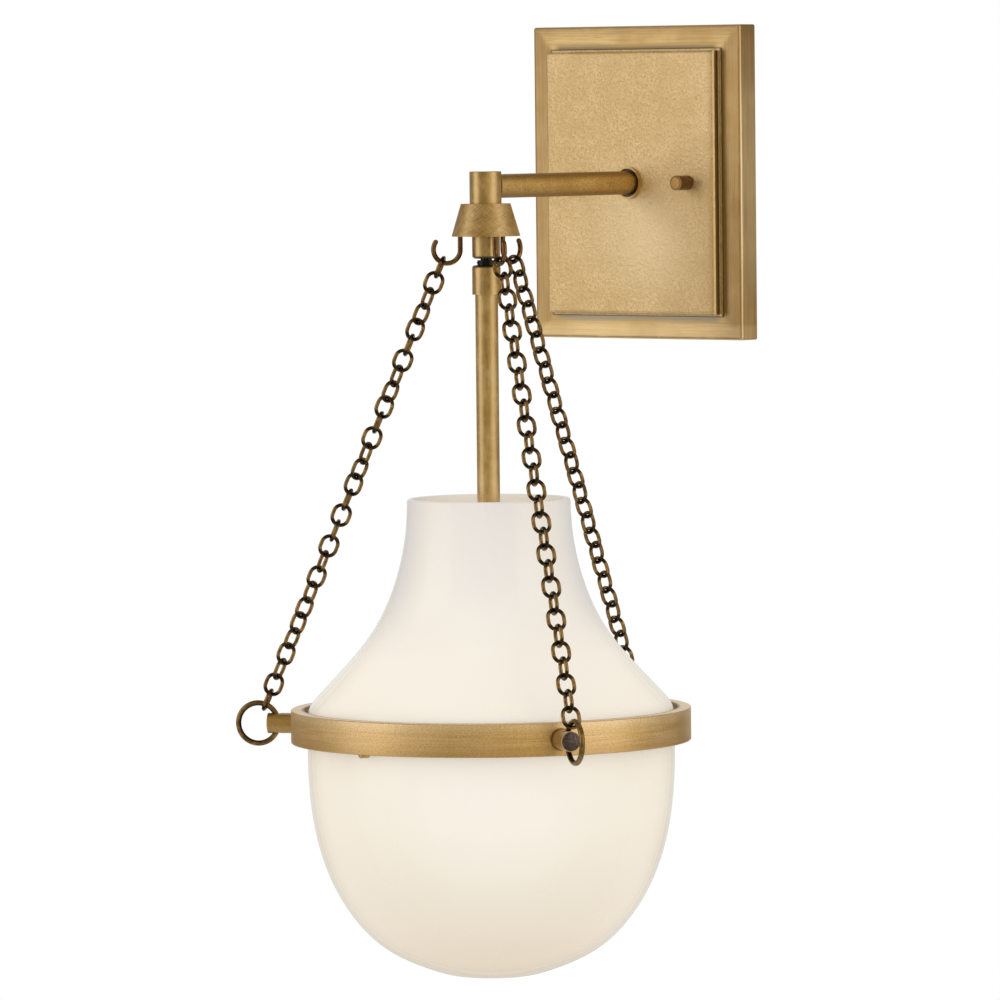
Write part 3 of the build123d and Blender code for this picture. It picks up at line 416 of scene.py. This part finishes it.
def collar_finish():
    """The arm's collar: turned brass with painted shade in the groove next to the arm."""
    collar = aged_brass("turned_collar_brass", (300.0, 1400.0, 300.0), cloud=150.0)
    from_arm = collar.vector("LENGTH", collar.vector("MULTIPLY", collar.place, (1.0, 0.0, 1.0)))
    # painted shade in the groove next to the arm
    collar.lay(RECESS_SHADE_AND_DARK, collar.ramp(from_arm, COLLAR_RADIUS - 0.8 * MM, COLLAR_RADIUS - 1.2 * MM),
               collar.ramp(collar.axis("Y"), collar_low.y + 0.4 * MM, collar_low.y + 1.0 * MM))
    return collar


def hub_finish():
    """The hub and both couplings: brushed upright, with painted shade next to the swivel's gap."""
    hub = aged_brass("brushed_hub_brass", (1500.0, 1500.0, 350.0), pale=(0.58, 0.405, 0.175),
                     body=(0.40, 0.26, 0.085), cloud=90.0, streaks=0.42, roughness=0.40, coat=0.8)
    from_swivel = hub.math("ABSOLUTE", hub.math("SUBTRACT", hub.axis("Z"), SWIVEL_GAP_Z))
    # painted shade next to the swivel's gap
    hub.lay(RECESS_SHADE_AND_DARK, hub.ramp(from_swivel, 3.6 * MM, 2.7 * MM, 0.0, 0.85))
    return hub


def stem_finish():
    """The stem and its cup: brushed along their length."""
    return aged_brass("brushed_stem_brass", (1400.0, 1400.0, 90.0), pale=(0.64, 0.465, 0.215),
                      body=(0.48, 0.322, 0.112), cloud=110.0, streaks=0.36, coat=0.8)


def cup_finish():
    """The cone under the hub: crossing scratches that run slantwise round it."""
    cup = aged_brass("scratched_cup_brass", (1200.0, 1200.0, 1200.0), pale=(0.74, 0.540, 0.270),
                     body=(0.58, 0.390, 0.150), cloud=70.0, streaks=0.15, roughness=0.50)
    unrolled = cup.wrapped(CUP_RADIUS)
    for lean in (0.55, -0.65):
        scratches = cup.noise(1.0, cup.stretched((140.0, 2600.0, 1.0), lean, unrolled), detail=3.0)
        cup.lay(BRASS_DARK, cup.ramp(scratches, 0.58, 0.40, 0.0, 0.45))
    return cup


def inner_finish():
    """Dull brass of the pieces inside the cone and behind the plate."""
    return aged_brass("dull_inner_brass", (300.0, 300.0, 900.0), pale=BRASS, body=BRASS_DARK, dark=RECESS_SHADE_AND_DARK,
                      roughness=0.5)


# ---- band, stubs, rings, hooks and chains ----
def band_finish():
    """The band: brushed round its axis, painted paler at the top as painted light, browner at the foot as
    painted shade, and painted shade at the lip.
    """
    band = aged_brass("brushed_band_brass", (30.0, 30.0, 2200.0), pale=(0.87, 0.62, 0.315),
                      body=(0.82, 0.565, 0.240), cloud=40.0, streaks=0.34)
    height = band.axis("Z")
    # painted light: paler toward the top; painted shade: browner toward the foot
    band.lay((0.95, 0.75, 0.46), band.ramp(height, BAND_MIDDLE + 2.0 * MM, band_high.z, 0.0, 0.8))
    band.lay((0.50, 0.31, 0.10), band.ramp(height, BAND_MIDDLE, band_low.z, 0.0, 0.5))
    unrolled = band.wrapped(BAND_RADIUS)
    speckle = band.noise(1.0, band.stretched((800.0, 2600.0, 1.0), 0.0, unrolled), roughness=0.65)
    band.lay(BRASS_DARK, band.ramp(speckle, 0.58, 0.40, 0.0, 0.36))
    # painted shade in the lip next to the glass
    from_lip = band.math("SUBTRACT", band.hang_radius(), BAND_LIP_RADIUS)
    band.lay(BRASS_DARK, band.ramp(from_lip, 1.8 * MM, 0.6 * MM, 0.0, 0.85))
    return band


def stub_finish():
    """The drilled stubs: a dark mottled end inside a painted highlight round its rim, and a painted shadow
    line at the foot.
    """
    stub = aged_brass("stub_brass", (500.0, 500.0, 900.0), pale=BRASS, cloud=120.0)
    from_hang = stub.vector("ADD", stub.place, (0.0, REACH, -STUB_Z))
    toward_stubs = [stub.vector("DOT_PRODUCT", from_hang, (math.sin(turn), math.cos(turn), 0.0))
                    for turn in STUB_TURNS]
    out = stub.math("MAXIMUM", toward_stubs[0], stub.math("MAXIMUM", *toward_stubs[1:]))
    to_point = stub.vector("LENGTH", from_hang)
    from_axis = stub.math("SQRT", stub.math("SUBTRACT", stub.product(to_point, to_point),
                                            stub.product(out, out), clamp=True))
    on_end = stub.ramp(out, STUB_END - 1.3 * MM, STUB_END - 0.9 * MM)
    mottle = stub.noise(900.0, detail=4.0, roughness=0.7)
    end_tone = stub.mix(stub.ramp(mottle, 0.35, 0.65), (0.030, 0.022, 0.024), (0.125, 0.088, 0.080))
    # painted highlight round the rim of the end
    stub.lay(BRASS_PALE, on_end, stub.ramp(from_axis, STUB_RADIUS - 0.9 * MM, STUB_RADIUS - 0.5 * MM))
    stub.lay(end_tone, on_end, stub.ramp(from_axis, STUB_RADIUS - 0.2 * MM, STUB_RADIUS - 0.6 * MM))
    # painted shadow line at the foot, on the band
    stub.lay(BRASS_DARK, stub.ramp(out, BAND_RADIUS + 1.6 * MM, BAND_RADIUS + 0.4 * MM))
    return stub


def ring_finish():
    """The rings: aged wire, painted nearly black on the inside as painted shade."""
    ring = aged_brass("ring_brass", (400.0, 400.0, 400.0), pale=(0.32, 0.200, 0.070),
                      body=(0.145, 0.086, 0.028), dark=RECESS_SHADE_AND_DARK, cloud=200.0, roughness=0.34, coat=0.15)
    out = ring.math("SUBTRACT", ring.hang_radius(), RING_CENTRE)
    above = ring.math("SUBTRACT", ring.axis("Z"), STUB_Z)
    from_centre = ring.math("SQRT", ring.math("ADD", ring.product(out, out), ring.product(above, above)))
    # painted shade on the inside of the ring
    ring.lay(PITCH, ring.ramp(from_centre, RING_RADIUS - 0.2 * MM, RING_RADIUS - 1.0 * MM, 0.0, 0.95))
    return ring


def hook_finish():
    """The hooks: dark, smooth wire."""
    return aged_brass("hook_brass", (400.0, 400.0, 400.0), pale=(0.23, 0.125, 0.048),
                      body=(0.100, 0.052, 0.020), dark=RECESS_SHADE_AND_DARK, cloud=160.0, roughness=0.24, coat=0.12)


def chain_finish():
    """The chains: golden along the links and nearly black where they meet, patina there deepened by painted
    shade.
    """
    chain = aged_brass("chain_brass", (500.0, 500.0, 500.0), pale=(0.36, 0.225, 0.080),
                       body=(0.145, 0.085, 0.028), dark=RECESS_SHADE_AND_DARK, cloud=260.0, roughness=0.28, coat=0.12)
    out = chain.math("SUBTRACT", chain.hang_radius(), CHAIN_TOP_OUT)
    down = chain.math("SUBTRACT", CHAIN_TOP_Z, chain.axis("Z"))
    down_chain = chain.math("ADD", chain.product(out, math.sin(CHAIN_SLOPE)),
                            chain.product(down, math.cos(CHAIN_SLOPE)))
    links = chain.math("DIVIDE", chain.math("ADD", down_chain, LINK_START + LINK_STEP / 2.0), LINK_STEP)
    from_joint = chain.math("ABSOLUTE", chain.math("SUBTRACT", chain.math("FRACT", links), 0.5))
    # patina and painted shade where the links meet
    chain.lay(PITCH, chain.ramp(from_joint, 0.24, 0.08, 0.0, 0.88))
    return chain


# ---- glass, lamp and hidden pieces ----
def glass_finish():
    """Opal glass with a painted glow: warm in the bowl as painted lamplight, cooler at the neck, with
    painted shade and outline lines toward its silhouette.
    """
    glass = Finish("opal_glass")
    level = glass.ramp(glass.axis("Z"), GLASS_BOTTOM, RIM_Z, smooth=False)
    swirl = glass.noise(14.0, glass.stretched((1.0, 1.0, 0.35)), detail=2.0)
    weight = glass.tree.nodes.new("ShaderNodeLayerWeight")
    weight.inputs["Blend"].default_value = 0.5
    facing = weight.outputs["Facing"]
    # painted lamplight: brightest round the bowl, dimmer at the very bottom and toward the neck
    glass.tone = glass.steps(level, [
        (0.0, (0.72, 0.63, 0.50)), (0.12, (0.80, 0.73, 0.62)), (0.35, (0.87, 0.82, 0.73)),
        (0.68, (0.89, 0.845, 0.77)), (0.84, (0.81, 0.770, 0.715)), (1.0, (0.765, 0.725, 0.675))])
    glass.lay((0.70, 0.66, 0.60), glass.ramp(swirl, 0.3, 0.7, 0.0, 0.05))
    # painted shade and outline lines toward the silhouette
    silhouette_shade = glass.steps(facing, [
        (0.0, (1.0, 1.0, 1.0)), (0.07, (1.0, 1.0, 0.99)), (0.20, (0.98, 0.965, 0.93)),
        (0.38, (0.98, 0.96, 0.925)), (0.60, (1.0, 0.975, 0.94)), (0.70, (0.97, 0.95, 0.92)),
        (0.735, (0.92, 0.90, 0.87)), (0.765, (0.97, 0.95, 0.92)), (0.81, (0.84, 0.83, 0.80)),
        (0.85, (0.86, 0.86, 0.84)), (0.93, (0.72, 0.73, 0.73)), (1.0, (0.62, 0.63, 0.64))])
    glass.tone = glass.mix(1.0, glass.tone, silhouette_shade, "MULTIPLY")
    # painted shade: greyer at the sides of the neck
    glass.lay((0.57, 0.572, 0.580), glass.ramp(level, 0.66, 0.82), glass.ramp(facing, 0.30, 0.65, 0.0, 0.45))
    # painted glow: the glass gives out its own tone as light
    glass.set(Roughness=glass.ramp(swirl, 0.3, 0.7, 0.24, 0.30), IOR=1.5, Specular_IOR_Level=0.30,
              Emission_Color=glass.tone, Emission_Strength=0.29)
    glass.bump(swirl, 0.4 * MM, 0.3)
    return glass


def swivel_finish():
    """The swivel's ball and locknut: glossy black."""
    return mottled("blackened_swivel", (0.005, 0.004, 0.004), (0.012, 0.010, 0.008), scale=500.0,
                   detail=3.0, rough=(0.10, 0.14), relief=(0.002 * MM, 0.2), blend=(0.35, 0.7),
                   Specular_IOR_Level=0.15)


def lamp_glass_finish():
    """The lamp's glass: frosted, with a faint warm glow."""
    return mottled("frosted_lamp_glass", (0.86, 0.84, 0.79), (0.92, 0.90, 0.86), scale=700.0, detail=2.0,
                   rough=(0.35, 0.5), relief=(0.03 * MM, 0.4), IOR=1.5, Subsurface_Weight=0.2,
                   Emission_Color=(1.0, 0.86, 0.66), Emission_Strength=0.6)


def lamp_base_finish():
    """The lamp's base: bright metal with its rolled thread as a relief."""
    base = Finish("lamp_base_metal")
    turns = base.tree.nodes.new("ShaderNodeTexWave")
    turns.bands_direction = "Z"
    turns.inputs["Scale"].default_value = 90.0
    base.feed(turns.inputs["Vector"], base.place)
    scuffs = base.noise(260.0, detail=3.0)
    base.tone = base.mix(scuffs, (0.62, 0.62, 0.63), (0.78, 0.78, 0.79))
    base.set(Metallic=1.0, Roughness=base.ramp(scuffs, 0.3, 0.7, 0.22, 0.36))
    base.bump(turns.outputs[0], 0.4 * MM, 0.6)
    return base


def ceramic_finish():
    """The lampholder: glazed, off-white ceramic."""
    return mottled("glazed_ceramic", (0.78, 0.76, 0.71), (0.86, 0.85, 0.81), scale=160.0, detail=3.0,
                   rough=(0.18, 0.30), relief=(0.05 * MM, 0.4))


def gasket_finish():
    """The gaskets: matt, finely pored rubber."""
    rubber = Finish("soft_gasket")
    pores = rubber.noise(1200.0, detail=2.0)
    rubber.tone = rubber.mix(pores, (0.50, 0.50, 0.48), (0.62, 0.62, 0.60))
    rubber.set(Roughness=rubber.ramp(pores, 0.3, 0.7, 0.65, 0.85))
    rubber.bump(pores, 0.04 * MM, 0.5)
    return rubber


def zinc_finish():
    """The steel pieces behind the plate: spangled zinc with a rolled grain."""
    zinc = Finish("zinc_plate")
    spangle = zinc.noise(180.0, detail=4.0, roughness=0.6)
    rolled = zinc.noise(1.0, zinc.stretched((60.0, 900.0, 900.0)), detail=3.0)
    zinc.tone = zinc.mix(zinc.ramp(spangle, 0.3, 0.7), (0.42, 0.43, 0.44), (0.62, 0.63, 0.64))
    zinc.set(Metallic=1.0, Roughness=zinc.ramp(rolled, 0.3, 0.7, 0.30, 0.45))
    zinc.bump(rolled, 0.03 * MM, 0.5)
    return zinc


def earth_screw_finish():
    """The earth screw: green metallic coating."""
    return mottled("green_earth_screw", (0.03, 0.22, 0.06), (0.05, 0.32, 0.10), scale=400.0, detail=3.0,
                   rough=(0.30, 0.42), relief=(0.03 * MM, 0.4), Metallic=0.6)


# ---- which piece has which finish ----
paint(plate_finish(), "wall_pan")
paint(panel_finish(), "raised_panel")
paint(arm_finish(), "arm_tube")
paint(nut_finish(), "cap_nut_left", "cap_nut_right")
paint(collar_finish(), "arm_collar")
paint(hub_finish(), "arm_hub", "upper_coupling", "lower_coupling")
paint(stem_finish(), "stem_tube", "socket_cup")
paint(cup_finish(), "hook_cup")
paint(inner_finish(), "hub_nipple", "cup_spacer", "hook_plate", "arm_locknut")
paint(swivel_finish(), "swivel_ball", "swivel_locknut")
paint(band_finish(), "shade_band", "retaining_ring", "retainer_screws")
paint(stub_finish(), "stub_left", "stub_front", "stub_back")
paint(ring_finish(), "ring_left", "ring_front", "ring_back")
paint(hook_finish(), "hook_left", "hook_front", "hook_back")
paint(chain_finish(), "chain_left", "chain_front", "chain_back")
paint(glass_finish(), "glass_shade")
paint(lamp_glass_finish(), "bulb_glass")
paint(lamp_base_finish(), "bulb_base")
paint(ceramic_finish(), "lampholder")
paint(gasket_finish(), "upper_gasket", "lower_gasket")
paint(zinc_finish(), "box_strap", "crossbar", "strap_rivet", "stud_screws", "arm_washer")
paint(earth_screw_finish(), "ground_screw")

# ---- floor, far enough below to stay out of the camera's picture ----
FLOOR_Z = -0.62
FLOOR_RADIUS = 1.2
FLOOR_RINGS = 12
FLOOR_SPOKES = 64


def studio_floor():
    """A pale paper disc round the hang axis that fades out toward its edge."""
    points = [(0.0, -REACH, FLOOR_Z)]
    for ring in range(1, FLOOR_RINGS + 1):
        radius = FLOOR_RADIUS * ring / FLOOR_RINGS
        for spoke in range(FLOOR_SPOKES):
            angle = 2.0 * math.pi * spoke / FLOOR_SPOKES
            points.append((radius * math.cos(angle), radius * math.sin(angle) - REACH, FLOOR_Z))
    faces = [(0, 1 + spoke, 1 + (spoke + 1) % FLOOR_SPOKES) for spoke in range(FLOOR_SPOKES)]
    for ring in range(1, FLOOR_RINGS):
        inside = 1 + (ring - 1) * FLOOR_SPOKES
        outside = inside + FLOOR_SPOKES
        for spoke in range(FLOOR_SPOKES):
            after = (spoke + 1) % FLOOR_SPOKES
            faces.append((inside + spoke, outside + spoke, outside + after, inside + after))
    mesh = bpy.data.meshes.new("studio_floor")
    mesh.from_pydata(points, [], faces)
    floor = bpy.data.objects.new("studio_floor", mesh)
    bpy.context.scene.collection.objects.link(floor)

    paper = Finish("pale_paper")
    fibre = paper.noise(300.0, detail=3.0)
    paper.set(Base_Color=paper.mix(fibre, (0.86, 0.86, 0.85), (0.90, 0.90, 0.89)), Roughness=0.9,
              Alpha=paper.ramp(paper.hang_radius(), FLOOR_RADIUS, 0.35 * FLOOR_RADIUS))
    mesh.materials.append(paper.material)


# ---- surround: what polished metal mirrors, by azimuth. 0 is straight out of the wall and 90 is +X ----
SURROUND_START = -90.0
SURROUND = (
    (-90.0, (0.50, 0.42, 0.31)), (-72.0, (0.34, 0.29, 0.21)), (-60.0, (0.28, 0.25, 0.19)),
    (0.0, (0.46, 0.40, 0.28)), (36.0, (0.50, 0.42, 0.26)), (52.0, (0.60, 0.51, 0.32)),
    (68.0, (0.95, 0.81, 0.52)), (84.0, (0.56, 0.48, 0.32)), (145.0, (0.54, 0.49, 0.40)),
    (172.0, (0.30, 0.25, 0.18)), (195.0, (0.36, 0.32, 0.26)), (212.0, (0.90, 0.88, 0.85)),
    (234.0, (0.90, 0.89, 0.87)), (246.0, (0.26, 0.21, 0.14)), (257.0, (0.48, 0.40, 0.29)),
    (270.0, (0.50, 0.42, 0.31)))
SOFT_LEVEL = 0.82
BACKDROP_LEVEL = 1.0


def studio_surround():
    """Mirrored rays see the coloured surround, soft ones an even light, the camera a white backdrop."""
    world = bpy.data.worlds.new("studio")
    bpy.context.scene.world = world
    world.use_nodes = True
    studio = Nodes(world.node_tree, "Generated")
    turn = studio.math("ARCTAN2", studio.axis("Y"), studio.axis("X"))
    share = studio.ramp(turn, -math.pi, math.pi, smooth=False)
    colour = studio.steps(share, [((azimuth - SURROUND_START) / 360.0, tone) for azimuth, tone in SURROUND])
    rays = studio.tree.nodes.new("ShaderNodeLightPath")
    for ray, level in (("Is Diffuse Ray", SOFT_LEVEL), ("Is Camera Ray", BACKDROP_LEVEL)):
        colour = studio.mix(rays.outputs[ray], colour, (level, level, level))
    backdrop = studio.tree.nodes.new("ShaderNodeBackground")
    studio.feed(backdrop.inputs["Color"], colour)
    output = studio.tree.nodes.new("ShaderNodeOutputWorld")
    studio.feed(output.inputs["Surface"], backdrop.outputs[0])
    world.cycles.sampling_method = "NONE"


# ---- softboxes ----
SOFTBOX_ELEVATION = 12.0
SOFTBOX_DISTANCE = 2.6
SOFTBOX_HEIGHT = 2.2
SOFTBOX_AIM_Z = -0.18


def outward(azimuth, elevation):
    """The direction from the object at an azimuth and elevation in radians."""
    return Vector((math.sin(azimuth) * math.cos(elevation), -math.cos(azimuth) * math.cos(elevation),
                   math.sin(elevation)))


def softbox(name, azimuth, width, radiance):
    """A rectangular light that faces the middle of the object. Radiance is power over pi times its area."""
    data = bpy.data.lights.new(name, "AREA")
    data.shape = "RECTANGLE"
    data.size = width
    data.size_y = SOFTBOX_HEIGHT
    data.energy = radiance * math.pi * width * SOFTBOX_HEIGHT
    away = outward(math.radians(azimuth), math.radians(SOFTBOX_ELEVATION))
    light = bpy.data.objects.new(name, data)
    light.location = Vector((0.0, -REACH, SOFTBOX_AIM_Z)) + SOFTBOX_DISTANCE * away
    light.rotation_mode = "QUATERNION"
    light.rotation_quaternion = away.to_track_quat("Z", "Y")
    light.visible_camera = False
    light.visible_diffuse = False
    bpy.context.scene.collection.objects.link(light)


# ---- camera: fitted to the corners of the plate and the silhouettes of the hanging parts ----
CAMERA_AZIMUTH = math.radians(39.9293)
CAMERA_ELEVATION = math.radians(3.1215)
CAMERA_ROLL = math.radians(-0.5919)
CAMERA_DISTANCE = 4.19167
CAMERA_LENS = 271.64
CAMERA_SENSOR = 36.0
AIM = (0.0, -0.1, -0.1745958)
AIM_LEFT = 0.0233007


def studio_camera():
    back = outward(CAMERA_AZIMUTH, CAMERA_ELEVATION)
    level_right = Vector((math.cos(CAMERA_AZIMUTH), math.sin(CAMERA_AZIMUTH), 0.0))
    level_up = back.cross(level_right)
    right = math.cos(CAMERA_ROLL) * level_right + math.sin(CAMERA_ROLL) * level_up
    up = -math.sin(CAMERA_ROLL) * level_right + math.cos(CAMERA_ROLL) * level_up
    data = bpy.data.cameras.new("camera")
    data.sensor_width = CAMERA_SENSOR
    data.lens = CAMERA_LENS
    data.clip_start = 0.05
    data.clip_end = 50.0
    camera = bpy.data.objects.new("camera", data)
    placing = Matrix((right, up, back)).transposed().to_4x4()
    placing.translation = Vector(AIM) - AIM_LEFT * level_right + CAMERA_DISTANCE * back
    camera.matrix_world = placing
    bpy.context.scene.collection.objects.link(camera)
    bpy.context.scene.camera = camera


studio_floor()
studio_surround()
softbox("left_softbox", azimuth=-33.0, width=1.75, radiance=1.7)
softbox("right_softbox", azimuth=101.0, width=1.9, radiance=1.32)
studio_camera()
bpy.context.scene.view_settings.view_transform = "Standard"
